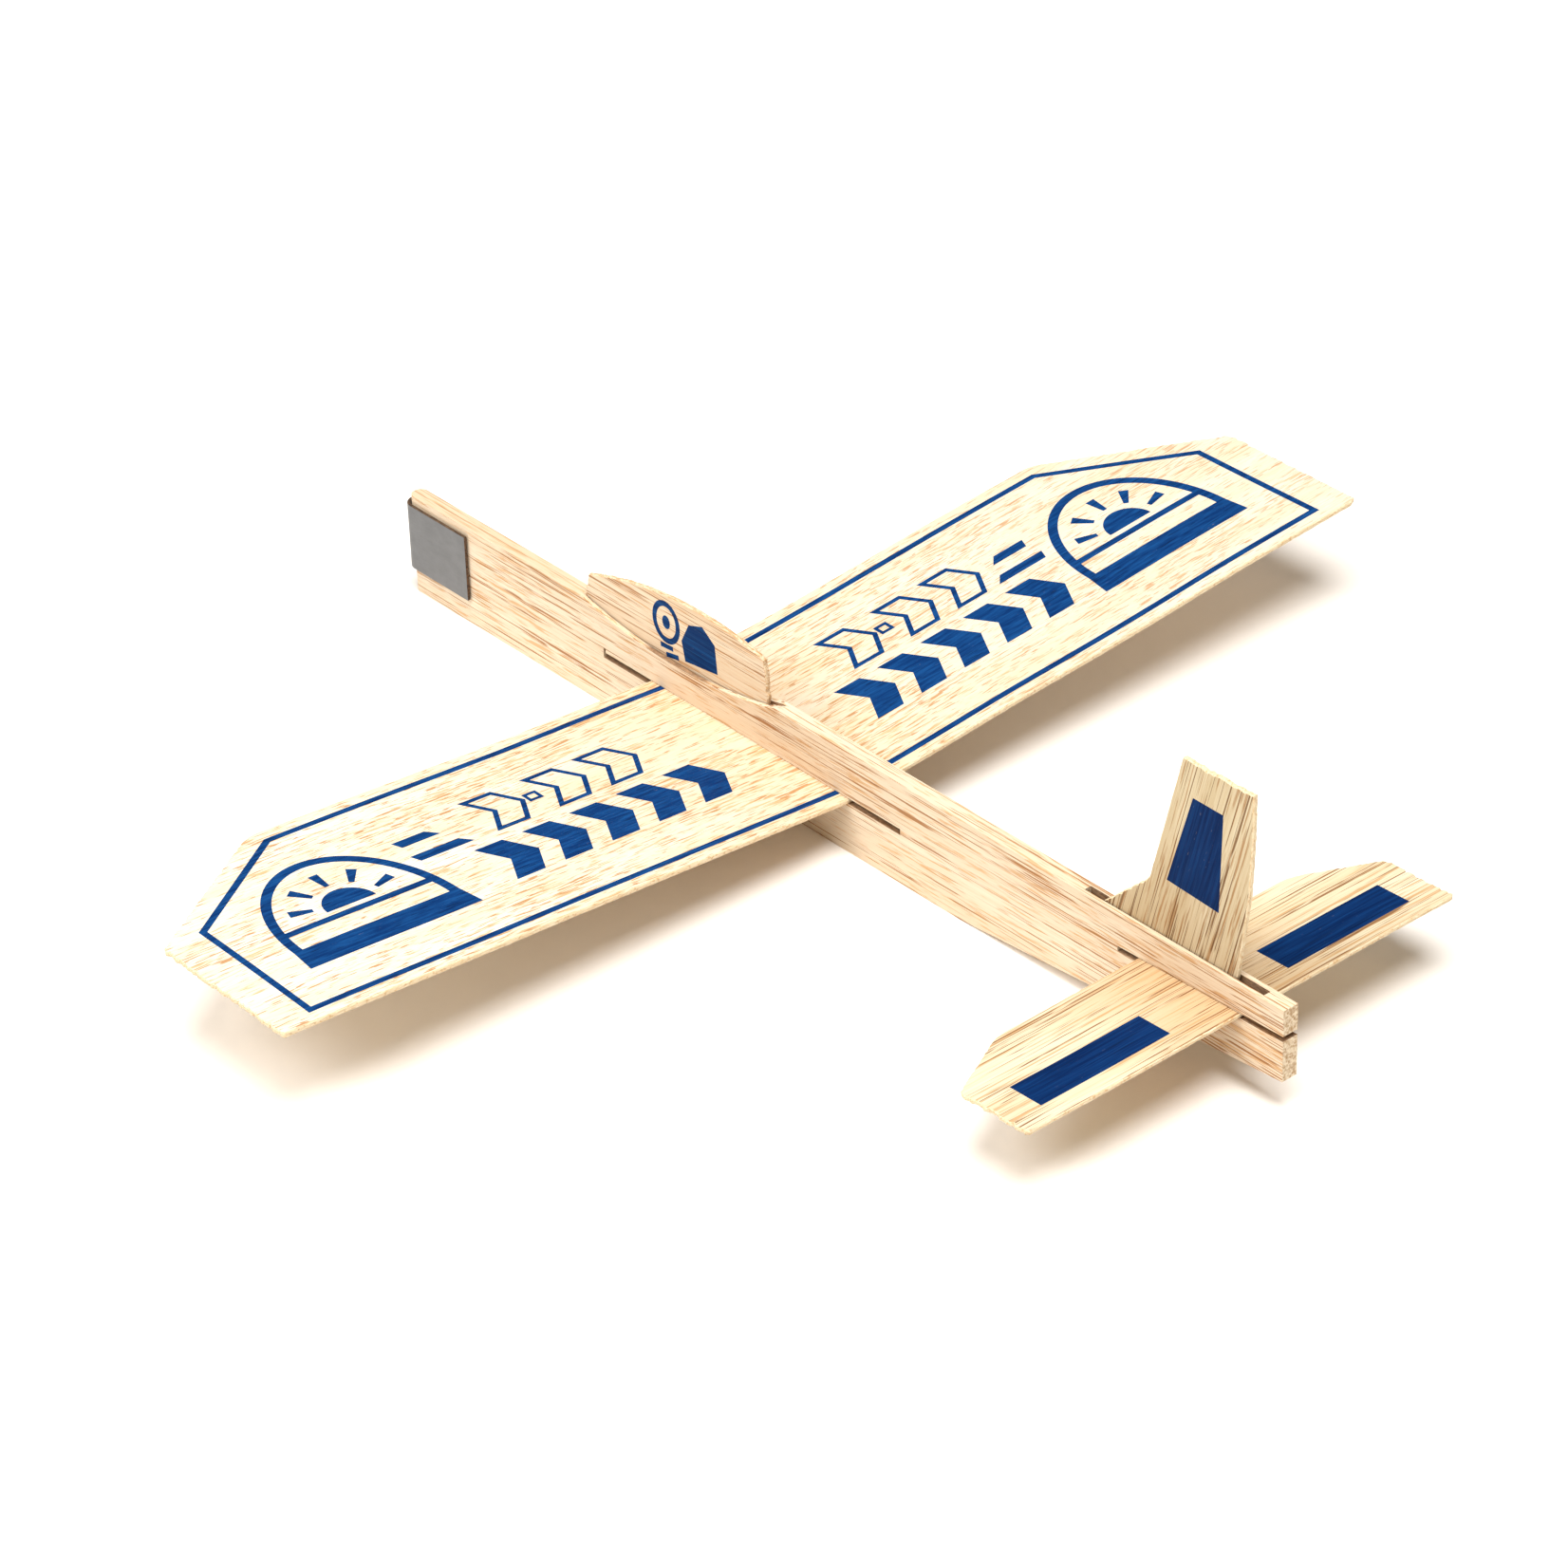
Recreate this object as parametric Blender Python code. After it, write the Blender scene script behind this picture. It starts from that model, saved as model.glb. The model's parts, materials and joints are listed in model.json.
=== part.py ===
"""Balsa hand glider: a slotted stick, four thin sheets pushed into it and a folded steel clip on the nose.

X points forward, Y to the left wing and Z up. The glider stands on the straight underside of its stick.
Stations are measured forward from the tail end, and heights up from the underside, all in millimetres.
"""

import math

import bmesh
import bpy
from mathutils import Vector

MM = 0.001
CLEARANCE = 0.3

# Stick.
STICK_LENGTH = 277.5
STICK_DEPTH = 25.0
STICK_THICKNESS = 4.0
TAIL_DEPTH = 17.0
TAPER_LENGTH = 95.0
NOSE_ROUND = 1.9
NOSE_CORNER = 1.6

# Wing and its slot.
WING_TRAILING_EDGE = 128.0
WING_LEADING_EDGE = 193.0
WING_HALF_SPAN = 150.0
WING_SHOULDER = 111.0
WING_TIP_FRONT = 167.8
WING_SHEET = 1.2
WING_HEIGHT = 12.96
WING_DIHEDRAL = math.radians(4.56)
WING_FOLD = 3.0
WING_SLOT_START = 112.0
WING_SLOT_END = 209.0
WING_SLOT_HEIGHT = 13.03
WING_SLOT_OPENING = 1.5

# Stabilizer and its slot, which is open at the tail and rises towards it.
STABILIZER_TRAILING_EDGE = 11.8
STABILIZER_LEADING_EDGE = 40.8
STABILIZER_HALF_SPAN = 59.3
STABILIZER_SHOULDER = 40.8
STABILIZER_TIP_FRONT = 31.3
STABILIZER_SHEET = 1.0
STABILIZER_SLOT_END = 46.7
STABILIZER_SLOT_OPENING = 1.25
STABILIZER_TILT = math.radians(2.2)
STABILIZER_HEIGHT_AT_TAIL = 18.25

# Fin and its groove.
FIN_SHEET = 1.2
FIN_TENON = 3.7
FIN_GROOVE_START = 6.5
FIN_GROOVE_END = 57.4
FIN_GROOVE_DEPTH = 4.0
FIN_ABOVE_STICK = [(52.0, 0.0), (40.6, 10.5), (39.2, 12.0), (30.1, 44.3), (29.8, 44.5), (10.5, 44.5), (10.4, 44.3)]
FIN_REAR = [(10.4, 36.0), (11.2, 21.0), (14.2, 0.0)]

# Canopy, the scooped seat in the top of the stick and the narrower groove in the seat.
CANOPY_SHEET = 1.2
CANOPY_REAR = 155.0
CANOPY_FRONT = 216.2
CANOPY_ARCH_STATION = 178.0
CANOPY_ARCH_RISE = 12.2
CANOPY_ARCH_RADIUS = 105.0
SEAT_MIDDLE = 184.3
SEAT_HALF_LENGTH = 32.2
SEAT_DEPTH = 3.9
CANOPY_GROOVE_HALF_LENGTH = 33.5
CANOPY_GROOVE_DEPTH = 6.4

# Folded nose clip.
CLIP_SHEET = 0.8
CLIP_REAR = 256.0
CLIP_BOTTOM = 6.5
CLIP_TOP = 23.0

CENTRE_STATION = (STICK_LENGTH + CLIP_SHEET + CLEARANCE) / 2


def place(station, across, height):
    """World position in metres of a point given by station, distance to the left and height."""
    return Vector((station - CENTRE_STATION, across, height)) * MM


def material(name, colour, metallic, roughness):
    made = bpy.data.materials.new(name)
    made.use_nodes = True
    shader = made.node_tree.nodes["Principled BSDF"]
    shader.inputs["Base Color"].default_value = (*colour, 1.0)
    shader.inputs["Metallic"].default_value = metallic
    shader.inputs["Roughness"].default_value = roughness
    return made


def finished(name, mesh, made_of, origin):
    """Closes a bmesh into a named object whose origin is at the given world point."""
    bmesh.ops.recalc_face_normals(mesh, faces=mesh.faces)
    bmesh.ops.translate(mesh, verts=mesh.verts, vec=-origin)
    data = bpy.data.meshes.new(name)
    mesh.to_mesh(data)
    mesh.free()
    if made_of is not None:
        data.materials.append(made_of)
    made = bpy.data.objects.new(name, data)
    made.location = origin
    bpy.context.scene.collection.objects.link(made)
    return made


def swept(near_points, far_points):
    """A bmesh between two copies of one outline."""
    mesh = bmesh.new()
    near = [mesh.verts.new(point) for point in near_points]
    far = [mesh.verts.new(point) for point in far_points]
    mesh.faces.new(near)
    mesh.faces.new(far[::-1])
    for index in range(len(near)):
        after = (index + 1) % len(near)
        mesh.faces.new((near[index], far[index], far[after], near[after]))
    return mesh


def prism(outline, left, right):
    """A bmesh of an outline of (station, height) points, carried across from one side to the other."""
    return swept(
        [place(station, left, height) for station, height in outline],
        [place(station, right, height) for station, height in outline],
    )


def upright_prism(outline, bottom, top):
    """A bmesh of an outline of (station, across) points, carried up from one height to another."""
    return swept(
        [place(station, across, bottom) for station, across in outline],
        [place(station, across, top) for station, across in outline],
    )


def lofted(sections):
    """A bmesh of four-cornered sections joined one to the next, with both ends closed."""
    mesh = bmesh.new()
    rings = [[mesh.verts.new(corner) for corner in section] for section in sections]
    mesh.faces.new(rings[0])
    mesh.faces.new(rings[-1][::-1])
    for ring, following in zip(rings, rings[1:]):
        for index in range(4):
            after = (index + 1) % 4
            mesh.faces.new((ring[index], following[index], following[after], ring[after]))
    return mesh


def cut(body, name, mesh):
    """Takes a closed bmesh away from the body."""
    cutter = finished(name, mesh, None, Vector((0, 0, 0)))
    cutter.hide_render = True
    cutter.display_type = "WIRE"
    modifier = body.modifiers.new(name, "BOOLEAN")
    modifier.operation = "DIFFERENCE"
    modifier.solver = "EXACT"
    modifier.object = cutter


def sagging_arc(middle, half_length, depth, height, steps):
    """Points of a circular arc which sags to the given depth below a height, from rear to front."""
    radius = (half_length**2 + depth**2) / (2 * depth)
    reach = math.asin(half_length / radius)
    angles = [reach * (2 * step / steps - 1) for step in range(steps + 1)]
    centre = height - depth + radius
    return [(middle + radius * math.sin(angle), centre - radius * math.cos(angle)) for angle in angles]


def stick(balsa):
    taper_start = STICK_DEPTH - TAIL_DEPTH
    corner = [
        (
            STICK_LENGTH - NOSE_CORNER + NOSE_CORNER * math.sin(math.radians(angle)),
            NOSE_CORNER - NOSE_CORNER * math.cos(math.radians(angle)),
        )
        for angle in range(0, 91, 15)
    ]
    outline = [(0, STICK_DEPTH), (0, taper_start), (TAPER_LENGTH, 0), *corner, (STICK_LENGTH, STICK_DEPTH)]
    half = STICK_THICKNESS / 2
    mesh = prism(outline, half, -half)
    body = finished("fuselage", mesh, balsa, place(STICK_LENGTH / 2, 0, STICK_DEPTH / 2))

    shoulder = STICK_LENGTH - NOSE_ROUND
    flat = half - NOSE_ROUND
    rounding = []
    for step in range(17):
        angle = math.radians(180 * step / 16 - 90)
        side = flat if angle > 0 else -flat
        rounding.append((shoulder + NOSE_ROUND * math.cos(angle), side + NOSE_ROUND * math.sin(angle)))
    ahead = STICK_LENGTH + 3
    around = [(shoulder, 4), (ahead, 4), (ahead, -4), (shoulder, -4), *rounding]
    cut(body, "nose_rounding", upright_prism(around, -2, STICK_DEPTH + 2))

    low = WING_SLOT_HEIGHT - WING_SLOT_OPENING / 2
    high = WING_SLOT_HEIGHT + WING_SLOT_OPENING / 2
    nick = WING_SLOT_END - 0.8
    slot = [
        (WING_SLOT_START, high),
        (WING_SLOT_START, low),
        (WING_SLOT_END, low),
        (WING_SLOT_END, high + 1.0),
        (nick, high + 1.0),
        (nick, high),
    ]
    cut(body, "wing_slot", prism(slot, 4, -4))

    cut(body, "stabilizer_slot", prism(stabilizer_slot_outline(), 4, -4))

    floor = STICK_DEPTH - FIN_GROOVE_DEPTH
    above = STICK_DEPTH + 1
    groove = [
        (FIN_GROOVE_START, above),
        (FIN_GROOVE_START, floor),
        (FIN_GROOVE_END, floor),
        (FIN_GROOVE_END, above),
    ]
    half = FIN_SHEET / 2 + CLEARANCE
    cut(body, "fin_groove", prism(groove, half, -half))

    seat = sagging_arc(SEAT_MIDDLE, SEAT_HALF_LENGTH, SEAT_DEPTH, STICK_DEPTH, 28)
    seat = [(seat[0][0], above), *seat, (seat[-1][0], above)]
    cut(body, "canopy_seat", prism(seat, 4, -4))

    groove = sagging_arc(SEAT_MIDDLE, CANOPY_GROOVE_HALF_LENGTH, CANOPY_GROOVE_DEPTH, STICK_DEPTH, 28)
    groove = [(groove[0][0], above), *groove, (groove[-1][0], above)]
    half = CANOPY_SHEET / 2 + CLEARANCE
    cut(body, "canopy_groove", prism(groove, half, -half))
    return body


def stabilizer_height(station):
    return STABILIZER_HEIGHT_AT_TAIL - station * math.tan(STABILIZER_TILT)


def stabilizer_slot_outline():
    half = STABILIZER_SLOT_OPENING / 2
    behind = -3.0
    return [
        (behind, stabilizer_height(behind) + half),
        (behind, stabilizer_height(behind) - half),
        (STABILIZER_SLOT_END, stabilizer_height(STABILIZER_SLOT_END) - half),
        (STABILIZER_SLOT_END, stabilizer_height(STABILIZER_SLOT_END) + half),
    ]


def front_edge(out, leading_edge, shoulder, tip_front, half_span):
    """Station of a sheet's front edge at a distance out along its half: straight, then cut back to the tip."""
    round_start = shoulder - 3.0
    round_end = shoulder + 3.0
    slope = (tip_front - leading_edge) / (half_span - shoulder)
    if out <= round_start:
        return leading_edge
    if out < round_end:
        return leading_edge + slope * (out - round_start) ** 2 / (2 * (round_end - round_start))
    return leading_edge + slope * (out - shoulder)


def stations_out(shoulder, half_span, inner):
    rounding = [shoulder - 3.0 + step for step in range(7)]
    one_side = [*inner, *rounding, half_span - 0.8, half_span]
    return [-out for out in reversed(one_side)] + [0.0] + one_side


def wing_lift(out):
    """Height of the wing's mid surface above its middle, with a soft fold inside the stick."""
    rise = math.sin(WING_DIHEDRAL)
    out = abs(out)
    if out < WING_FOLD:
        return rise * out**2 / (2 * WING_FOLD)
    return rise * (out - WING_FOLD / 2)


def wing(balsa):
    sections = []
    half = WING_SHEET / 2
    for out in stations_out(WING_SHOULDER, WING_HALF_SPAN, [0.75, 1.5, 2.25, 3.0, 60.0]):
        front = front_edge(abs(out), WING_LEADING_EDGE, WING_SHOULDER, WING_TIP_FRONT, WING_HALF_SPAN)
        rear = WING_TRAILING_EDGE
        if abs(out) == WING_HALF_SPAN:
            front -= 0.8
            rear += 0.8
        across = out * math.cos(WING_DIHEDRAL)
        height = WING_HEIGHT + wing_lift(out)
        sections.append(
            [
                place(front, across, height + half),
                place(front, across, height - half),
                place(rear, across, height - half),
                place(rear, across, height + half),
            ]
        )
    middle = (WING_LEADING_EDGE + WING_TRAILING_EDGE) / 2
    return finished("wing", lofted(sections), balsa, place(middle, 0, WING_HEIGHT))


def stabilizer(balsa):
    sections = []
    half = STABILIZER_SHEET / 2
    for out in stations_out(STABILIZER_SHOULDER, STABILIZER_HALF_SPAN, [10.0]):
        front = front_edge(
            abs(out),
            STABILIZER_LEADING_EDGE,
            STABILIZER_SHOULDER,
            STABILIZER_TIP_FRONT,
            STABILIZER_HALF_SPAN,
        )
        rear = STABILIZER_TRAILING_EDGE
        if abs(out) == STABILIZER_HALF_SPAN:
            front -= 0.8
            rear += 0.8
        sections.append(
            [
                place(front, out, stabilizer_height(front) + half),
                place(front, out, stabilizer_height(front) - half),
                place(rear, out, stabilizer_height(rear) - half),
                place(rear, out, stabilizer_height(rear) + half),
            ]
        )
    middle = (STABILIZER_LEADING_EDGE + STABILIZER_TRAILING_EDGE) / 2
    return finished("stabilizer", lofted(sections), balsa, place(middle, 0, stabilizer_height(middle)))


def fin(balsa):
    profile = [(station, STICK_DEPTH + rise) for station, rise in FIN_ABOVE_STICK + FIN_REAR]
    rear_base = FIN_REAR[-1][0]
    front_base = FIN_ABOVE_STICK[0][0]
    bottom = STICK_DEPTH - FIN_TENON
    profile += [(rear_base + 0.6, bottom), (front_base - 0.6, bottom)]
    half = FIN_SHEET / 2
    return finished("fin", prism(profile, half, -half), balsa, place((front_base + rear_base) / 2, 0, STICK_DEPTH))


def canopy(balsa):
    centre = STICK_DEPTH + CANOPY_ARCH_RISE - CANOPY_ARCH_RADIUS
    arch_front = CANOPY_FRONT - 1.4
    arch = []
    for step in range(25):
        station = arch_front + (CANOPY_REAR + 0.8 - arch_front) * step / 24
        drop = math.sqrt(CANOPY_ARCH_RADIUS**2 - (station - CANOPY_ARCH_STATION) ** 2)
        arch.append((station, centre + drop))
    base = sagging_arc(SEAT_MIDDLE, CANOPY_GROOVE_HALF_LENGTH, CANOPY_GROOVE_DEPTH, STICK_DEPTH, 28)
    base = [(station, height + CLEARANCE) for station, height in base]
    base = [point for point in base if CANOPY_REAR < point[0] < CANOPY_FRONT]
    profile = [*arch, (CANOPY_REAR, STICK_DEPTH + 0.3), *base, (CANOPY_FRONT, STICK_DEPTH + 0.9)]
    half = CANOPY_SHEET / 2
    return finished("canopy", prism(profile, half, -half), balsa, place(SEAT_MIDDLE, 0, STICK_DEPTH))


def nose_clip(steel):
    inner = STICK_THICKNESS / 2 + CLEARANCE
    outer = inner + CLIP_SHEET
    bend = STICK_LENGTH - STICK_THICKNESS / 2
    angles = [math.radians(90 - 7.5 * step) for step in range(25)]
    outside = [(bend + outer * math.cos(angle), outer * math.sin(angle)) for angle in angles]
    inside = [(bend + inner * math.cos(angle), inner * math.sin(angle)) for angle in angles]
    path_out = [(CLIP_REAR, outer), *outside, (CLIP_REAR, -outer)]
    path_in = [(CLIP_REAR, inner), *inside, (CLIP_REAR, -inner)]
    sections = [
        [
            place(*far, CLIP_TOP),
            place(*far, CLIP_BOTTOM),
            place(*near, CLIP_BOTTOM),
            place(*near, CLIP_TOP),
        ]
        for far, near in zip(path_out, path_in)
    ]
    middle = (CLIP_BOTTOM + CLIP_TOP) / 2
    return finished("nose_clip", lofted(sections), steel, place((CLIP_REAR + bend) / 2, 0, middle))


def main():
    for old in list(bpy.data.objects):
        bpy.data.objects.remove(old)
    balsa = material("balsa", (0.86, 0.68, 0.47), 0.0, 0.75)
    steel = material("steel", (0.45, 0.45, 0.45), 1.0, 0.45)
    stick(balsa)
    wing(balsa)
    stabilizer(balsa)
    fin(balsa)
    canopy(balsa)
    nose_clip(steel)


main()
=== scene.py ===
"""Balsa hand glider: four printed sheets in a slotted stick with a steel nose clip, on a pale floor.

The stick and the clip are the CAD solids with finer edges and materials. The wing, stabilizer, fin and canopy
are rebuilt as die-cut sheets with ragged rims and their prints set into the surface. Sheet coordinates are in
millimetres: stations forward from the tail end, distances out to the left wing, heights up from the floor.
"""

import json
import math
import random

import bmesh
import bpy
from mathutils import Matrix, Vector, geometry, noise


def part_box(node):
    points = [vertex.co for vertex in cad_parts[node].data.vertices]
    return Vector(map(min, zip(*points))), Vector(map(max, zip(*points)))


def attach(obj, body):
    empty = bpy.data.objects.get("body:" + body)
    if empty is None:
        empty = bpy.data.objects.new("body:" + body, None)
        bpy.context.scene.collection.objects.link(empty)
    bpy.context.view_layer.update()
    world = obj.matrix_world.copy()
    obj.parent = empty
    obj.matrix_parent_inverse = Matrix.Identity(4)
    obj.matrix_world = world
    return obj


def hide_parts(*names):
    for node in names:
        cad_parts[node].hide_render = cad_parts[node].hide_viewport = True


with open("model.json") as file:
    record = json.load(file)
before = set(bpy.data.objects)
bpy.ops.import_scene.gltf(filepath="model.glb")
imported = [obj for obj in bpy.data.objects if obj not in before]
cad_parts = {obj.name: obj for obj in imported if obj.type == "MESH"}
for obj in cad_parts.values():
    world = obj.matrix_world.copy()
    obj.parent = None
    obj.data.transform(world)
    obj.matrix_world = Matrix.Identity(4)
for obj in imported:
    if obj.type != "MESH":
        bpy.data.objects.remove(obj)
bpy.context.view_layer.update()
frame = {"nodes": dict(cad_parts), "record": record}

MM = 0.001
CLEARANCE = 0.3

# Stick and clip. The stick's underside rises towards its tail end.
STICK_LOW, STICK_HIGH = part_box("fuselage")
TAIL = STICK_LOW.x
STICK_TOP = (STICK_HIGH.z - STICK_LOW.z) / MM
TAIL_DEPTH = 17.0
CLIP_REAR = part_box("nose_clip")[0].x / MM

# Wing, as a flat sheet before its halves are bent up.
WING_TRAILING_EDGE = 128.0
WING_LEADING_EDGE = 193.0
WING_HALF_SPAN = 150.0
WING_SHOULDER = 111.0
WING_TIP_FRONT = 167.8
WING_SHEET = 1.2
WING_HEIGHT = 12.96
WING_DIHEDRAL = math.radians(4.56)
WING_FOLD = 3.0

# Stabilizer, which rises towards the tail.
STABILIZER_TRAILING_EDGE = 11.8
STABILIZER_LEADING_EDGE = 40.8
STABILIZER_HALF_SPAN = 59.3
STABILIZER_SHOULDER = 40.8
STABILIZER_TIP_FRONT = 31.3
STABILIZER_SHEET = 1.0
STABILIZER_TILT = math.radians(2.2)
STABILIZER_HEIGHT_AT_TAIL = 18.25

# Fin, as (station, rise above the stick) from its front corner over the top to its rear corner.
FIN_SHEET = 1.2
FIN_TENON = 3.7
FIN_FRONT = [(52.0, 0.0), (40.6, 10.5), (39.2, 12.0), (30.1, 44.3), (29.8, 44.5)]
FIN_REAR = [(10.5, 44.5), (10.4, 44.3), (10.4, 36.0), (11.2, 21.0), (14.2, 0.0)]
FIN_GRAIN = (-9.1, 32.3)

# Canopy, and the groove that its lower edge follows.
CANOPY_SHEET = 1.2
CANOPY_REAR = 155.0
CANOPY_FRONT = 216.2
CANOPY_ARCH_STATION = 178.0
CANOPY_ARCH_RISE = 12.2
CANOPY_ARCH_RADIUS = 105.0
SEAT_MIDDLE = 184.3
CANOPY_GROOVE_HALF_LENGTH = 33.5
CANOPY_GROOVE_DEPTH = 6.4
ARCH_STEPS = 24
GROOVE_STEPS = 28

# Corners of a wing or a stabilizer: half the length of the curved shoulder, and the small cut at the tip.
SHOULDER_BEND = 3.0
TIP_CORNER = 0.8

# Spacing of points round a sheet's rim and along its prints, and how far its inner points stay from the rim.
RIM_STEP = 0.9
PRINT_STEP = 3.0
GRID_MARGIN = 1.3

# How far in the die tears a rim: always, at random, and across the grain, where a few tears are deep.
LEAST_TEAR = 0.03
ANY_TEAR = 0.05
CROSS_TEAR = 0.62
TEAR_RARITY = 2.6

# Rings round a sheet's rim from its printed face to its bare one: how far each lies in from the cut, how much
# further it wanders, and its height in half thicknesses.
RIM_RINGS = ((0.20, 0.10, 1.0), (0.0, 0.05, 0.62), (0.02, 0.10, -0.55), (0.16, 0.12, -1.0))

# Material slots of a sheet.
FACE, PRINT, EDGE = 0, 1, 2

# Turns that bring the grain of a piece to X.
ALONG_X = (0.0, 0.0, 0.0)
ALONG_Y = (0.0, 0.0, math.radians(-90))
ALONG_FIN = (0.0, math.atan2(FIN_GRAIN[1], FIN_GRAIN[0]), 0.0)


def place(station, across, height):
    """World position in metres."""
    return Vector((TAIL + station * MM, across * MM, height * MM))


def counter_clockwise(loop):
    loop = [Vector(point) for point in loop]
    area = sum(a.cross(b) for a, b in zip(loop, loop[1:] + loop[:1]))
    return loop if area > 0 else loop[::-1]


def divided(loop, longest):
    """The loop with points added along its sides, so that it can follow a bent surface."""
    dense = []
    for start, end in zip(loop, loop[1:] + loop[:1]):
        count = math.ceil((end - start).length / longest)
        dense += [start.lerp(end, step / count) for step in range(count)]
    return dense


def contains(loop, point):
    inside = False
    for a, b in zip(loop, loop[1:] + loop[:1]):
        if (a.y > point.y) != (b.y > point.y):
            if point.x < a.x + (point.y - a.y) / (b.y - a.y) * (b.x - a.x):
                inside = not inside
    return inside


# ---- Outlines of prints: each print is a list of closed loops --------------------------------------------


def offset_path(points, distance, closed):
    """The path moved sideways by a distance, with mitred corners."""
    points = [Vector(point) for point in points]
    count = len(points)
    moved = []
    for index, point in enumerate(points):
        before = points[index - 1] if closed or index else None
        after = points[(index + 1) % count] if closed or index < count - 1 else None
        normals = []
        for start, end in ((before, point), (point, after)):
            if start is not None and end is not None:
                along = (end - start).normalized()
                normals.append(Vector((-along.y, along.x)))
        shortening = 1 + normals[0].dot(normals[-1]) if len(normals) > 1 else 1
        moved.append(point + sum(normals, Vector((0, 0))) / shortening * distance)
    return moved


def band(points, width):
    """A closed line of some width: its outer and inner loops."""
    return [offset_path(points, width / 2, True), offset_path(points, -width / 2, True)]


def line(points, width):
    """An open line of some width."""
    return [offset_path(points, width / 2, False) + offset_path(points, -width / 2, False)[::-1]]


def ellipse(centre, radii, steps, first=0.0, last=360.0):
    """Points round an ellipse, or along part of it between two angles in degrees."""
    turns = [math.radians(first + (last - first) * step / steps) for step in range(steps + 1)]
    if last - first == 360.0:
        turns.pop()
    return [(centre[0] + radii[0] * math.cos(turn), centre[1] + radii[1] * math.sin(turn)) for turn in turns]


def chevron(start, width, low, high, lean):
    """A block with a point ahead and a notch behind, read towards the right wing."""
    middle = (low + high) / 2
    return [
        (low, start),
        (low, start - width + lean),
        (middle, start - width),
        (high, start - width + lean),
        (high, start),
        (middle, start - lean),
    ]


def wing_prints():
    """A border line and, on each half, solid chevrons, open ones, a little square and the emblem."""
    border = [(131.8, -140.3), (168, -139.8), (189, -108.2), (189, 108.2), (168, 139.8), (131.8, 140.3)]
    prints = [band(border, 1.6)]
    for side, solid_start, open_start in ((1, 77.0, 67.0), (-1, -22.0, -32.0)):
        for number in range(5):
            prints.append([chevron(solid_start - 12.6 * number, width=11.4, low=145.5, high=160.0, lean=4.0)])
        for shift in (0.0, 16.5, 30.5):
            prints.append(band(chevron(open_start - shift, width=11.0, low=163.8, high=176.4, lean=3.6), 1.2))
        near, far = open_start - 12.4, open_start - 15.2
        prints.append(band([(169.0, near), (169.0, far), (171.4, far), (171.4, near)], 0.9))
        for loops in emblem():
            prints.append([[(station, side * out) for out, station in loop] for loop in loops])
    return prints


def emblem():
    """A rising sun in an arch over a solid bar, with two strips beside it, as (out, station) loops."""
    middle = 109.5
    prints = [
        [[(87.6, 143.5), (131.2, 143.5), (130.4, 150.4), (88.6, 150.4)]],
        line(ellipse((middle, 149.8), (19.8, 27.0), 40, 0, 180), 2.3),
        line([(90.4, 156.4), (128.6, 156.4)], 1.8),
        [ellipse((middle, 158.6), (6.2, 6.2), 24, 0, 180)],
    ]
    for angle in (18, 54, 90, 126, 162):
        along = Vector((math.cos(math.radians(angle)), math.sin(math.radians(angle))))
        side = Vector((-along.y, along.x))
        centre = Vector((middle, 158.4))
        near, far = centre + along * 8.4, centre + along * 13.6
        prints.append([[near - side * 0.6, far - side * 1.2, far + side * 1.2, near + side * 0.6]])
    for number, out in enumerate((74.0, 78.0)):
        low = 163.3 + 6.4 * number
        high = low + 2.6
        prints.append([[(out, low), (88.0, low), (89.0, high), (out + 2.4, high)]])
    return prints


def stabilizer_prints():
    """A solid block on each half."""
    prints = []
    for side in (1, -1):
        near, far = side * 16.3, side * 50.9
        prints.append([[(16.8, near), (25.75, near), (25.75, far), (16.8, far)]])
    return prints


def fin_prints():
    """A solid block that narrows upwards, as the fin does."""
    block = [(27.1, 36.2), (18.7, 36.1), (19.6, 12.8), (34.2, 13.6)]
    return [[[(station, STICK_TOP + rise) for station, rise in block]]]


def canopy_prints():
    """A ring with a dot, two short bars under it and a solid block behind it."""
    block = [(171.6, -1.0), (182.4, -2.4), (183.4, 2.4), (180.8, 7.4), (176.2, 9.0), (172.2, 6.0)]
    centre = (188.4, STICK_TOP + 4.8)
    return [
        band(ellipse(centre, (3.9, 4.6), 28), 1.4),
        [ellipse(centre, (1.3, 1.7), 16)],
        line([(186.4, STICK_TOP - 1.2), (190.6, STICK_TOP - 1.5)], 1.2),
        line([(184.6, STICK_TOP - 2.6), (188.8, STICK_TOP - 3.4)], 1.2),
        [[(station, STICK_TOP + rise) for station, rise in block]],
    ]


# ---- Die-cut sheets ---------------------------------------------------------------------------------------


def rim_of(outline, grain, seed):
    """Close points round the outline, each with its inward direction and how far in the cut is torn there.

    The tears are deepest where the cut crosses the grain.
    """
    outline = counter_clockwise(outline)
    grain = Vector(grain).normalized()
    rim = []
    corners = []
    for start, end in zip(outline, outline[1:] + outline[:1]):
        along = (end - start).normalized()
        inward = Vector((-along.y, along.x))
        crossing = abs(along.cross(grain))
        count = max(1, round((end - start).length / RIM_STEP))
        corners.append(len(rim))
        for index in range(count):
            rim.append([start.lerp(end, index / count), inward, crossing])
    for corner in corners:
        rim[corner][1] = (rim[corner][1] + rim[corner - 1][1]).normalized()
    draw = random.Random(seed)
    torn = []
    for point, inward, crossing in rim:
        depth = LEAST_TEAR + ANY_TEAR * draw.random() + crossing * CROSS_TEAR * draw.random() ** TEAR_RARITY
        torn.append((point, inward, depth))
    return torn


def rings_of(outline, grain, seed):
    """The rings of points round a sheet's rim, one for each of RIM_RINGS."""
    rim = rim_of(outline, grain, seed)
    draw = random.Random(seed + 1)
    rings = []
    for inset, wander, _ in RIM_RINGS:
        ring = []
        for point, inward, depth in rim:
            ring.append(point + inward * (inset + depth + wander * draw.random()))
        rings.append(ring)
    return rings


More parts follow.
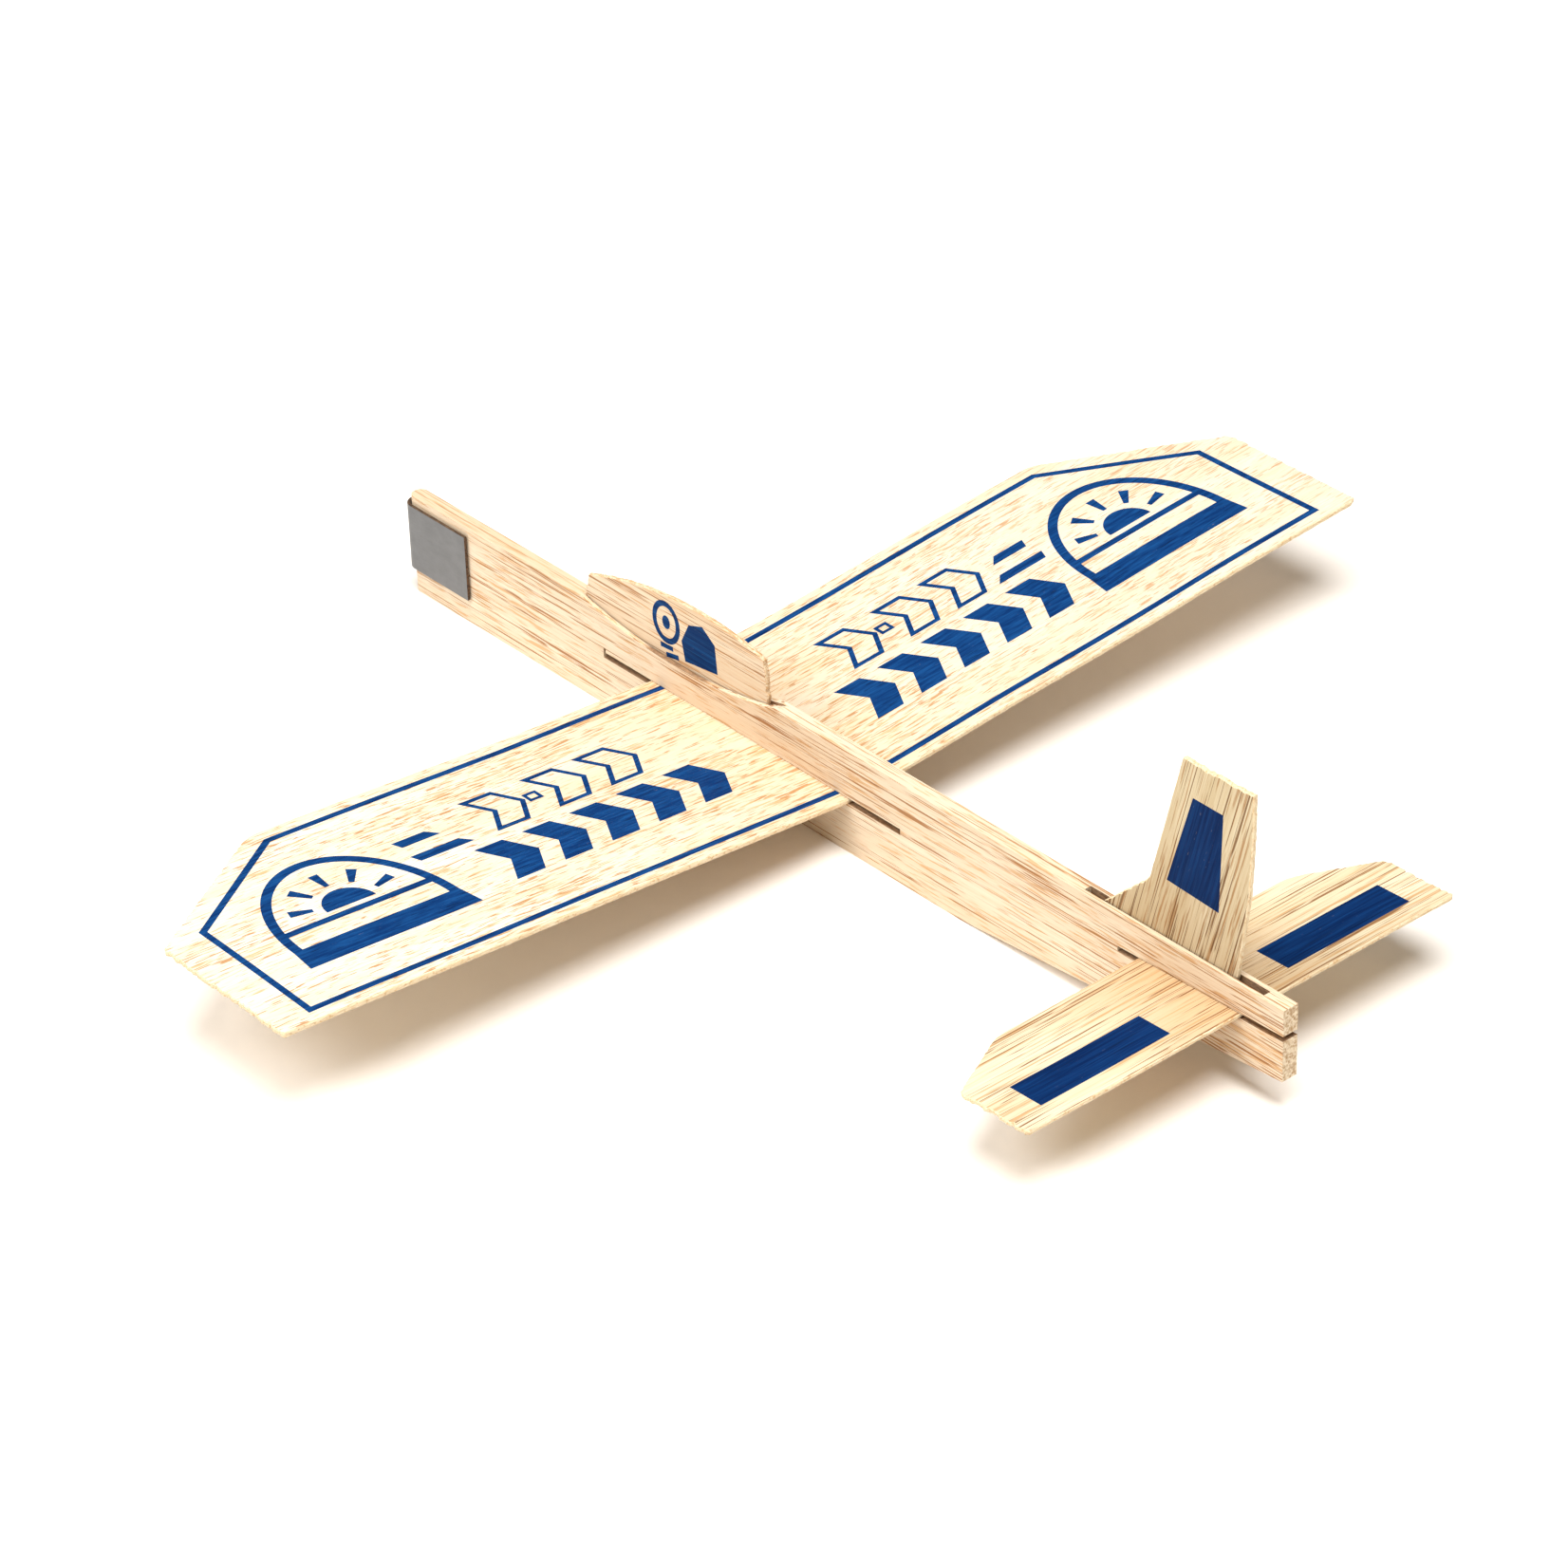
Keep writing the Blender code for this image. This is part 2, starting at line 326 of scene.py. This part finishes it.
def inner_points(loop, grid):
    """Staggered points inside a loop, clear of it by a margin."""
    low = [min(point[axis] for point in loop) for axis in (0, 1)]
    high = [max(point[axis] for point in loop) for axis in (0, 1)]
    nearby = [Vector(way) * GRID_MARGIN for way in ((1, 0), (-1, 0), (0, 1), (0, -1))]
    inside = []
    for column in range(1, round((high[0] - low[0]) / grid)):
        for row in range(1, round((high[1] - low[1]) / grid)):
            point = Vector((low[0] + grid * (column + 0.5 * (row % 2)), low[1] + grid * row))
            if all(contains(loop, point + shift) for shift in nearby):
                inside.append(point)
    return inside


def triangulated(rim, prints, grid):
    """A sheet's flat points, its triangles, whether each is printed, and each rim point's index.

    A triangle is printed where an odd number of one print's loops go round it, so a band is bare inside.
    """
    loops = [rim]
    owners = [None]
    for number, members in enumerate(prints):
        for loop in members:
            loops.append(divided(counter_clockwise(loop), PRINT_STEP))
            owners.append(number)
    points = []
    faces = []
    for loop in loops:
        faces.append(list(range(len(points), len(points) + len(loop))))
        points += loop
    points += inner_points(rim, grid)
    flat, _, triangles, came_from, _, inside_of = geometry.delaunay_2d_cdt(points, [], faces, 1, 1e-4)
    printed = []
    for surrounding in inside_of:
        found = [owners[loop] for loop in surrounding if owners[loop] is not None]
        printed.append(any(found.count(number) % 2 for number in set(found)))
    rim_index = {}
    for index, sources in enumerate(came_from):
        for source in sources:
            if source < len(rim):
                rim_index[source] = index
    return flat, triangles, printed, rim_index


def sheet_piece(name, outline, grain, prints, locate, thickness, grid, seed):
    """A thin sheet cut along an outline, with a ragged rim and prints on one face."""
    half = thickness / 2
    rings = rings_of(outline, grain, seed)
    flat, triangles, printed, rim_index = triangulated(rings[0], prints, grid)
    under = list(flat)
    for source, index in rim_index.items():
        under[index] = rings[-1][source]

    mesh = bmesh.new()
    top = [mesh.verts.new(locate(point.x, point.y, half)) for point in flat]
    bottom = [mesh.verts.new(locate(point.x, point.y, -half)) for point in under]
    for triangle, inked in zip(triangles, printed):
        mesh.faces.new([top[index] for index in triangle]).material_index = PRINT if inked else FACE
        mesh.faces.new([bottom[index] for index in reversed(triangle)]).material_index = FACE
    count = len(rings[0])
    levels = [[top[rim_index[source]] for source in range(count)]]
    for ring, (_, _, height) in zip(rings[1:-1], RIM_RINGS[1:-1]):
        levels.append([mesh.verts.new(locate(point.x, point.y, height * half)) for point in ring])
    levels.append([bottom[rim_index[source]] for source in range(count)])
    for upper, lower in zip(levels, levels[1:]):
        for index in range(count):
            after = (index + 1) % count
            mesh.faces.new((upper[index], lower[index], lower[after], upper[after])).material_index = EDGE
    bmesh.ops.recalc_face_normals(mesh, faces=mesh.faces)
    data = bpy.data.meshes.new(name)
    mesh.to_mesh(data)
    mesh.free()
    made = bpy.data.objects.new(name, data)
    bpy.context.scene.collection.objects.link(made)
    return made


def swept_outline(leading_edge, shoulder, tip_front, half_span, trailing_edge):
    """Outline of a sheet whose front edge bends back at a shoulder on each side, along a parabola."""
    slope = (tip_front - leading_edge) / (half_span - shoulder)
    half = []
    for step in range(round(2 * SHOULDER_BEND) + 1):
        half.append((leading_edge + slope * step**2 / (4 * SHOULDER_BEND), shoulder - SHOULDER_BEND + step))
    corner = half_span - TIP_CORNER
    half.append((leading_edge + slope * (corner - shoulder), corner))
    half += [(tip_front - TIP_CORNER, half_span), (trailing_edge + TIP_CORNER, half_span)]
    half.append((trailing_edge, corner))
    return half + [(station, -across) for station, across in reversed(half)]


def warp(station, across, size, held, reach, seed):
    """Unevenness of a sheet in waves of about 50 mm. It fades in past the strip that the stick holds."""
    free = min(1.0, max(0.0, (abs(across) - held) / reach))
    waves = Vector((station * 0.018, across * 0.022, seed))
    return free * size * noise.noise(waves)


def wing_point(station, flat, offset):
    """Place of a point of the flat wing once its halves are bent up."""
    out = abs(flat)
    rise = math.sin(WING_DIHEDRAL)
    lift = rise * out**2 / (2 * WING_FOLD) if out < WING_FOLD else rise * (out - WING_FOLD / 2)
    lift += warp(station, flat, size=0.5, held=8.0, reach=40.0, seed=3.7)
    return place(station, flat * math.cos(WING_DIHEDRAL), WING_HEIGHT + lift + offset)


def stabilizer_point(station, across, offset):
    height = STABILIZER_HEIGHT_AT_TAIL - station * math.tan(STABILIZER_TILT)
    height += warp(station, across, size=0.35, held=6.0, reach=25.0, seed=9.1)
    return place(station, across, height + offset)


def upright_point(station, height, offset):
    """Place of a point of the fin or the canopy, whose printed face is to the left."""
    return place(station, offset, height)


def wing_sheet():
    outline = swept_outline(
        WING_LEADING_EDGE, WING_SHOULDER, WING_TIP_FRONT, WING_HALF_SPAN, WING_TRAILING_EDGE
    )
    return sheet_piece(
        "wing_sheet", outline, grain=(0, 1), prints=wing_prints(), locate=wing_point,
        thickness=WING_SHEET, grid=5.0, seed=11,
    )


def stabilizer_sheet():
    outline = swept_outline(
        STABILIZER_LEADING_EDGE, STABILIZER_SHOULDER, STABILIZER_TIP_FRONT,
        STABILIZER_HALF_SPAN, STABILIZER_TRAILING_EDGE,
    )
    return sheet_piece(
        "stabilizer_sheet", outline, grain=(0, 1), prints=stabilizer_prints(), locate=stabilizer_point,
        thickness=STABILIZER_SHEET, grid=4.0, seed=23,
    )


def fin_sheet():
    tenon = [(14.8, -FIN_TENON), (51.4, -FIN_TENON)]
    outline = [(station, STICK_TOP + rise) for station, rise in FIN_FRONT + FIN_REAR + tenon]
    return sheet_piece(
        "fin_sheet", outline, grain=FIN_GRAIN, prints=fin_prints(), locate=upright_point,
        thickness=FIN_SHEET, grid=4.0, seed=31,
    )


def canopy_sheet():
    """An arched top edge over a lower edge that follows the bottom of the groove."""
    outline = []
    arch_front, arch_rear = CANOPY_FRONT - 1.4, CANOPY_REAR + 0.8
    for step in range(ARCH_STEPS + 1):
        station = arch_front + (arch_rear - arch_front) * step / ARCH_STEPS
        drop = CANOPY_ARCH_RADIUS - math.sqrt(CANOPY_ARCH_RADIUS**2 - (station - CANOPY_ARCH_STATION) ** 2)
        outline.append((station, STICK_TOP + CANOPY_ARCH_RISE - drop))
    outline.append((CANOPY_REAR, STICK_TOP + 0.3))
    radius = (CANOPY_GROOVE_HALF_LENGTH**2 + CANOPY_GROOVE_DEPTH**2) / (2 * CANOPY_GROOVE_DEPTH)
    lowest = STICK_TOP - CANOPY_GROOVE_DEPTH + CLEARANCE
    for step in range(GROOVE_STEPS + 1):
        turn = math.asin(CANOPY_GROOVE_HALF_LENGTH / radius) * (2 * step / GROOVE_STEPS - 1)
        station = SEAT_MIDDLE + radius * math.sin(turn)
        if CANOPY_REAR < station < CANOPY_FRONT:
            outline.append((station, lowest + radius - radius * math.cos(turn)))
    outline.append((CANOPY_FRONT, STICK_TOP + 0.9))
    return sheet_piece(
        "canopy_sheet", outline, grain=(1, 0.03), prints=canopy_prints(), locate=upright_point,
        thickness=CANOPY_SHEET, grid=4.0, seed=47,
    )


# ---- Materials --------------------------------------------------------------------------------------------


def colour(red, green, blue):
    """Linear colour of 0 to 255 screen values."""
    linear = []
    for value in (red, green, blue):
        linear.append(value / 255 / 12.92 if value < 10 else ((value / 255 + 0.055) / 1.055) ** 2.4)
    return (*linear, 1.0)


PALE = colour(222, 204, 172)
EDGE_LIGHT = colour(238, 224, 194)
EDGE_DARK = colour(216, 188, 146)
INK = (colour(7, 45, 96), colour(20, 71, 128))
DEEP_INK = (colour(4, 32, 76), colour(12, 52, 104))


class Shading:
    """A node material, built one node at a time.

    Its textures use the object's coordinates in millimetres, turned so that X runs along the grain.
    """

    def __init__(self, name, rotation, shift, tone):
        self.material = bpy.data.materials.new(name)
        self.material.use_nodes = True
        self.tree = self.material.node_tree
        self.shader = self.tree.nodes["Principled BSDF"]
        self.tone = tone
        self.place = self.add("TexCoord").outputs["Object"]
        given = {"Vector": self.place, "Scale": (1 / MM,) * 3, "Rotation": rotation, "Location": shift}
        self.coordinates = self.add("Mapping", given).outputs[0]

    def add(self, kind, inputs=(), **settings):
        node = self.tree.nodes.new("ShaderNode" + kind)
        for key, value in settings.items():
            setattr(node, key, value)
        for key, value in dict(inputs).items():
            self.feed(node.inputs[key], value)
        return node

    def feed(self, socket, value):
        if isinstance(value, bpy.types.NodeSocket):
            self.tree.links.new(value, socket)
        else:
            socket.default_value = value

    def give(self, name, value):
        """Sets one of the shader's inputs."""
        self.feed(self.shader.inputs[name], value)

    def cover(self, amount, tone):
        """Lays some of a tone over the base colour so far."""
        self.tone = self.mix(amount, self.tone, tone)
        self.give("Base Color", self.tone)

    def maths(self, operation, *values):
        return self.add("Math", dict(enumerate(values)), operation=operation).outputs[0]

    def mix(self, amount, first, second):
        """A blend of two colours. A Mix node has its colours on inputs 6 and 7 and output 2."""
        node = self.add("Mix", {"Factor": amount}, data_type="RGBA")
        self.feed(node.inputs[6], first)
        self.feed(node.inputs[7], second)
        return node.outputs[2]

    def between(self, value, low, high, to_low=0.0, to_high=1.0):
        """The value's place between low and high, carried over to a new range and held inside it."""
        given = {"Value": value, "From Min": low, "From Max": high, "To Min": to_low, "To Max": to_high}
        return self.add("MapRange", given).outputs[0]

    def split(self, vector):
        """The X, Y and Z of a vector."""
        return list(self.add("SeparateXYZ", {"Vector": vector}).outputs)

    def normal(self):
        return self.split(self.add("NewGeometry").outputs["True Normal"])

    def texture(self, scale, detail=2.0, roughness=0.5):
        """Noise stretched by a scale for each axis, in waves per millimetre."""
        stretched = self.add("Mapping", {"Vector": self.coordinates, "Scale": scale}).outputs[0]
        given = {"Vector": stretched, "Scale": 1.0, "Detail": detail, "Roughness": roughness}
        return self.add("TexNoise", given).outputs[0]

    def bump(self, height, strength, distance):
        """Raises the surface by a height of 0 to 1, over a distance in millimetres."""
        given = {"Height": height, "Strength": strength, "Distance": distance * MM}
        self.give("Normal", self.add("Bump", given).outputs[0])


def grain_layers(shading, fleck_length, flecks, lines, extra=0.0):
    """Fine fibres, short pore flecks and long dark vessel lines, each from 0 to 1.

    The fleck length is in millimetres. Flecks and lines are closer in patches, and where extra is high.
    """
    fibres = shading.texture((0.05, 3.4, 3.4), 4.0, 0.6)
    density = shading.between(shading.texture((0.015, 0.10, 0.10)), 0.35, 0.65, 0.04, -0.04)
    density = shading.maths("ADD", density, extra)
    first_fleck = 0.60 - 0.03 * flecks
    short = shading.maths("ADD", shading.texture((0.5 / fleck_length, 1.9, 1.9), 3.0, 0.55), density)
    short = shading.between(short, first_fleck, first_fleck + 0.09)
    first_line = 0.66 - 0.035 * lines
    long = shading.maths("ADD", shading.texture((0.018, 2.7, 2.7), 1.0), density)
    long = shading.between(long, first_line, first_line + 0.025)
    breaks = shading.between(shading.texture((0.07, 1.1, 1.1)), 0.42, 0.50)
    return fibres, short, shading.maths("MULTIPLY", long, breaks)


def nearness(shading, axis, centre, reach):
    """From 1 at a place along one of the object's axes to 0 at a distance from it, in metres."""
    away = shading.maths("SUBTRACT", shading.split(shading.place)[axis], centre)
    return shading.between(shading.maths("ABSOLUTE", away), 0.0, reach, 1.0, 0.0)


def balsa(name, rotation, shift, tones, fleck_length, flecks, lines, dense, closer, darker):
    """Balsa wood. The tones are those of its pale parts, its dark parts, its flecks and its lines.

    Dense is the axis, centre and reach of a place about which flecks and lines are closer, and the tone goes
    some way towards that of the flecks.
    """
    light, dark, fleck, line_tone = [colour(*tone) for tone in tones]
    shading = Shading(name, rotation, shift, light)
    near = nearness(shading, *dense)
    extra = shading.maths("MULTIPLY", near, closer)
    fibres, short, long = grain_layers(shading, fleck_length, flecks, lines, extra)
    shading.cover(shading.between(shading.texture((0.008, 0.14, 0.14), 3.0), 0.36, 0.66), dark)
    shading.cover(shading.maths("MULTIPLY", near, darker), fleck)
    shading.cover(shading.between(fibres, 0.40, 0.68, 0.0, 0.7), Vector(dark).lerp(Vector(fleck), 0.35))
    shading.cover(shading.maths("MULTIPLY", short, 0.85), fleck)
    shading.cover(shading.maths("MULTIPLY", long, 0.9), line_tone)
    shading.give("Roughness", shading.between(fibres, 0.3, 0.7, 0.66, 0.86))
    shading.give("Specular IOR Level", 0.2)
    cuts = shading.maths("MULTIPLY", shading.maths("ADD", short, long), 0.4)
    shading.bump(shading.maths("SUBTRACT", fibres, cuts), 0.6, 0.14)
    return shading


def wing_balsa():
    """The palest wood, with its grain closest in the middle and a little more tone over the right half."""
    shading = balsa(
        "balsa_wing_face", ALONG_Y, (13, 7, 2),
        tones=((238, 231, 218), (230, 215, 189), (208, 166, 116), (182, 132, 84)),
        fleck_length=12.0, flecks=1.1, lines=1.7, dense=(1, 0.0, 0.08), closer=0.035, darker=0.5,
    )
    right = shading.between(shading.split(shading.place)[1], -0.02, -0.08, 0.0, 0.34)
    shading.cover(right, colour(204, 178, 150))
    return shading.material


def stabilizer_balsa():
    """Darker wood with long flecks, browner where the stick holds it."""
    return balsa(
        "balsa_stabilizer_face", ALONG_Y, (70, 31, 9),
        tones=((228, 215, 189), (214, 197, 163), (190, 148, 100), (130, 88, 50)),
        fleck_length=14.0, flecks=1.7, lines=2.0, dense=(1, 0.0, 0.034), closer=0.03, darker=0.8,
    ).material


def fin_balsa():
    """The darkest wood, closely lined, and browner towards the stick."""
    return balsa(
        "balsa_fin_face", ALONG_FIN, (5, 50, 17),
        tones=((214, 201, 171), (195, 177, 141), (160, 120, 78), (112, 78, 46)),
        fleck_length=7.0, flecks=2.2, lines=2.4, dense=(2, STICK_TOP * MM, 0.03), closer=0.015, darker=0.25,
    ).material


def canopy_balsa():
    """Fine, even wood, with its flecks a little closer at the front."""
    return balsa(
        "balsa_canopy_face", ALONG_X, (25, 3, 41),
        tones=((231, 218, 196), (222, 202, 174), (208, 164, 118), (164, 114, 70)),
        fleck_length=6.0, flecks=1.2, lines=1.5, dense=(0, 0.075, 0.06), closer=0.01, darker=0.0,
    ).material


def stick_balsa():
    """The stick's wood, closest at the tail, with porous ends, painted shade on its front top, and brown saw
    cuts deepened with painted shade.
    """
    shading = balsa(
        "balsa_stick_face", ALONG_X, (0, 11, 4),
        tones=((231, 216, 194), (223, 204, 178), (206, 162, 114), (158, 106, 60)),
        fleck_length=4.5, flecks=1.1, lines=1.8, dense=(0, TAIL, 0.19), closer=0.05, darker=0.1,
    )
    forward, left, height = shading.split(shading.place)
    normal = shading.normal()
    ends, sides, level = [shading.between(shading.maths("ABSOLUTE", part), 0.7, 0.85) for part in normal]
    pores = shading.texture((0.9, 1.7, 1.7), 3.0)
    end_tone = shading.mix(shading.between(pores, 0.4, 0.62), colour(232, 217, 190), colour(178, 146, 108))
    shading.cover(shading.maths("MULTIPLY", ends, 0.8), end_tone)

    # Painted shade: faces that look up at the front of the stick are darkened to stand in for shade.
    upward = shading.between(normal[2], 0.7, 0.85)
    front = shading.between(forward, 0.03, 0.09, 0.0, 0.4)
    shading.cover(shading.maths("MULTIPLY", front, upward), colour(206, 170, 132))

    # Saw cuts and painted shade in the slots: the level faces inside the stick's depth, and the walls close
    # to its middle, are darkened.
    tail_bottom = STICK_TOP - TAIL_DEPTH
    above_tail = shading.between(height, (tail_bottom + 0.3) * MM, (tail_bottom + 0.6) * MM)
    below_top = shading.between(height, (STICK_TOP - 3.6) * MM, (STICK_TOP - 3.4) * MM, 1.0, 0.0)
    floors = shading.maths("MULTIPLY", shading.maths("MULTIPLY", above_tail, below_top), level)
    inner = shading.between(shading.maths("ABSOLUTE", left), 1.05 * MM, 1.15 * MM, 1.0, 0.0)
    walls = shading.maths("MULTIPLY", inner, sides)
    sawn_and_shade_tone = shading.mix(shading.between(pores, 0.4, 0.6), colour(150, 112, 76), colour(112, 78, 50))
    shading.cover(shading.maths("MULTIPLY", shading.maths("MAXIMUM", floors, walls), 0.85), sawn_and_shade_tone)
    return shading.material


def cut_edge(name, rotation, shift, light, dark):
    """The crushed, fibrous rim that a die leaves."""
    shading = Shading(name, rotation, shift, light)
    fibres = shading.texture((0.35, 3.2, 3.2), 4.0, 0.65)
    pores = shading.texture((1.1, 1.5, 1.5))
    shading.cover(shading.between(fibres, 0.35, 0.65), dark)
    shading.cover(shading.between(pores, 0.55, 0.7, 0.0, 0.6), colour(190, 140, 84))
    shading.give("Roughness", shading.between(fibres, 0.3, 0.7, 0.8, 0.95))
    shading.give("Specular IOR Level", 0.2)
    shading.bump(shading.maths("ADD", fibres, pores), 0.7, 0.25)
    return shading.material


def ink(name, rotation, shift, tones):
    """Blue ink that lies thin over the fibres and leaves a few pores bare."""
    dark, light = tones
    shading = Shading(name, rotation, shift, dark)
    fibres, short, long = grain_layers(shading, fleck_length=8.0, flecks=1.0, lines=1.0)
    shading.cover(shading.between(shading.texture((0.05, 1.3, 1.3), 3.0, 0.6), 0.38, 0.66), light)
    shading.cover(shading.between(fibres, 0.50, 0.72, 0.0, 0.6), dark)
    shading.cover(shading.maths("MULTIPLY", long, 0.6), colour(8, 24, 52))
    shading.cover(shading.between(shading.texture((0.30, 2.6, 2.6), 4.0, 0.6), 0.69, 0.80, 0.0, 0.35), PALE)
    shading.give("Roughness", shading.between(fibres, 0.3, 0.7, 0.5, 0.7))
    shading.give("Specular IOR Level", 0.04)
    shading.bump(shading.maths("SUBTRACT", fibres, shading.maths("MULTIPLY", short, 0.4)), 0.45, 0.10)
    return shading.material


def clip_steel():
    """Plain steel strip, dull and faintly scratched, with dark sheared edges."""
    shading = Shading("clip_steel_sheared", ALONG_X, (0, 0, 0), colour(122, 123, 125))
    scratches = shading.texture((0.12, 5.0, 5.0), 4.0, 0.65)
    clouds = shading.texture((0.22, 0.3, 0.3), 4.0, 0.6)
    speckle = shading.texture((2.2, 2.2, 2.2), 3.0, 0.6)
    shading.cover(shading.between(clouds, 0.35, 0.65), colour(114, 115, 117))
    shading.cover(shading.between(scratches, 0.5, 0.72, 0.0, 0.35), colour(146, 146, 145))
    shading.cover(shading.between(speckle, 0.62, 0.74, 0.0, 0.4), colour(96, 90, 84))

    # Sheared edges are the strip's top and bottom, and its two ends at the rear.
    normal = shading.normal()
    backward = shading.maths("SUBTRACT", 0.0, normal[0])
    forward = shading.split(shading.place)[0]
    at_rear = shading.between(forward, (CLIP_REAR + 0.4) * MM, (CLIP_REAR + 0.6) * MM, 1.0, 0.0)
    rear_edge = shading.maths("MULTIPLY", backward, at_rear)
    sheared = shading.maths("MAXIMUM", shading.maths("ABSOLUTE", normal[2]), rear_edge)
    sheared = shading.between(sheared, 0.45, 0.6)
    edge_tone = shading.mix(shading.between(speckle, 0.4, 0.6), colour(52, 38, 28), colour(104, 80, 58))
    shading.cover(sheared, edge_tone)

    rough = shading.between(scratches, 0.3, 0.7, 0.42, 0.56)
    shading.give("Roughness", shading.maths("ADD", rough, shading.maths("MULTIPLY", sheared, 0.25)))
    shading.give("Metallic", shading.between(sheared, 0.0, 1.0, 0.9, 0.3))
    shading.bump(shading.maths("ADD", scratches, shading.maths("MULTIPLY", speckle, 0.4)), 0.35, 0.04)
    return shading.material


# ---- The glider -------------------------------------------------------------------------------------------


def dress(piece, *materials):
    """Gives a sheet its materials, in the order of its slots."""
    for material in materials:
        piece.data.materials.append(material)


def build_sheets():
    wing = wing_sheet()
    dress(
        wing,
        wing_balsa(),
        ink("ink_wing", ALONG_Y, (13, 7, 2), INK),
        cut_edge("balsa_wing_edge", ALONG_Y, (0, 5, 0), EDGE_LIGHT, EDGE_DARK),
    )
    stabilizer = stabilizer_sheet()
    dress(
        stabilizer,
        stabilizer_balsa(),
        ink("ink_stabilizer", ALONG_Y, (70, 31, 9), DEEP_INK),
        cut_edge("balsa_stabilizer_edge", ALONG_Y, (20, 5, 3), EDGE_LIGHT, EDGE_DARK),
    )
    fin = fin_sheet()
    dress(
        fin,
        fin_balsa(),
        ink("ink_fin", ALONG_FIN, (5, 50, 17), DEEP_INK),
        cut_edge("balsa_fin_edge", ALONG_FIN, (4, 5, 13), EDGE_LIGHT, EDGE_DARK),
    )
    canopy = canopy_sheet()
    dress(
        canopy,
        canopy_balsa(),
        ink("ink_canopy", ALONG_X, (25, 3, 41), INK),
        cut_edge("balsa_canopy_edge", ALONG_X, (8, 5, 3), EDGE_LIGHT, colour(188, 140, 90)),
    )
    for piece, node in ((wing, "wing"), (stabilizer, "stabilizer"), (fin, "fin"), (canopy, "canopy")):
        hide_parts(node)
        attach(piece, body_holding(node))


def body_holding(node):
    bodies = frame["record"]["behaviour"]["bodies"]
    return next(body for body, members in bodies.items() if node in members)


def finish_node(name, edge_width, material):
    """Rounds a CAD node's sharp edges and gives it a material.

    Its vertices are joined first, because they come in split by face.
    """
    node = frame["nodes"][name]
    weld = node.modifiers.new("weld", "WELD")
    weld.merge_threshold = 0.004 * MM
    bevel = node.modifiers.new("rounded_edges", "BEVEL")
    bevel.width = edge_width * MM
    bevel.segments = 2
    bevel.limit_method = "ANGLE"
    bevel.angle_limit = math.radians(40)
    for slot in node.material_slots:
        slot.material = material


# ---- Floor, lights and camera -----------------------------------------------------------------------------


def add_floor():
    """A pale sheet of paper, just under the stick so that their faces don't meet."""
    reach = 4.0
    height = -0.02 * MM
    data = bpy.data.meshes.new("floor")
    corners = [(x * reach, y * reach, height) for x, y in ((-1, -1), (1, -1), (1, 1), (-1, 1))]
    data.from_pydata(corners, [], [(0, 1, 2, 3)])
    made = bpy.data.objects.new("floor", data)
    bpy.context.scene.collection.objects.link(made)
    paper = bpy.data.materials.new("floor_paper")
    paper.use_nodes = True
    shader = paper.node_tree.nodes["Principled BSDF"]
    shader.inputs["Base Color"].default_value = (0.93, 0.905, 0.87, 1.0)
    shader.inputs["Roughness"].default_value = 0.9
    shader.inputs["Specular IOR Level"].default_value = 0.1
    data.materials.append(paper)


def around(azimuth, elevation, distance):
    """A position round the glider, from its angle about Z and its height above the horizon, in degrees."""
    turn, rise = math.radians(azimuth), math.radians(elevation)
    out = math.cos(rise)
    return Vector((math.cos(turn) * out, math.sin(turn) * out, math.sin(rise))) * distance


def add_area_light(name, position, target, size, power, tint):
    data = bpy.data.lights.new(name, "AREA")
    data.shape = "DISK"
    data.size = size
    data.energy = power
    data.color = tint
    made = bpy.data.objects.new(name, data)
    made.location = position
    made.rotation_mode = "QUATERNION"
    made.rotation_quaternion = (Vector(target) - position).to_track_quat("-Z", "Y")
    bpy.context.scene.collection.objects.link(made)


def add_lights():
    """A large soft light almost overhead, a weaker one from the left, and a dim warm surrounding."""
    world = bpy.data.worlds.new("studio")
    world.use_nodes = True
    background = world.node_tree.nodes["Background"]
    background.inputs["Color"].default_value = (1.0, 0.91, 0.80, 1.0)
    background.inputs["Strength"].default_value = 0.25
    bpy.context.scene.world = world
    add_area_light(
        "key_light", around(150, 74, 3.0), target=(0, 0, 0), size=1.9, power=114.0, tint=(1.0, 0.985, 0.96)
    )
    add_area_light(
        "left_light", around(74, 47, 2.2), target=(0, 0, 0.02), size=1.2, power=30.0, tint=(1.0, 0.98, 0.95)
    )


def add_camera():
    """A long lens from behind the left wing, turned slightly about its own axis."""
    azimuth, elevation, roll = 140.0716, 33.0217, -1.9692
    distance = 1.2122
    target = Vector((-10.821, 19.249, 24.955)) * MM
    back = around(azimuth, elevation, 1.0)
    right = Vector((0, 0, 1)).cross(back).normalized()
    up = back.cross(right)
    turn = math.radians(roll)
    turned_right = right * math.cos(turn) + up * math.sin(turn)
    turned_up = up * math.cos(turn) - right * math.sin(turn)
    data = bpy.data.cameras.new("camera")
    data.sensor_width = 36.0
    data.lens = 134.305
    data.clip_start = 0.01
    data.clip_end = 20.0
    made = bpy.data.objects.new("camera", data)
    rotation = Matrix((turned_right, turned_up, back)).transposed()
    made.matrix_world = Matrix.Translation(target + back * distance) @ rotation.to_4x4()
    bpy.context.scene.collection.objects.link(made)
    bpy.context.scene.camera = made


build_sheets()
finish_node("fuselage", 0.16, stick_balsa())
finish_node("nose_clip", 0.12, clip_steel())
add_floor()
add_lights()
add_camera()
bpy.context.scene.view_settings.view_transform = "Standard"
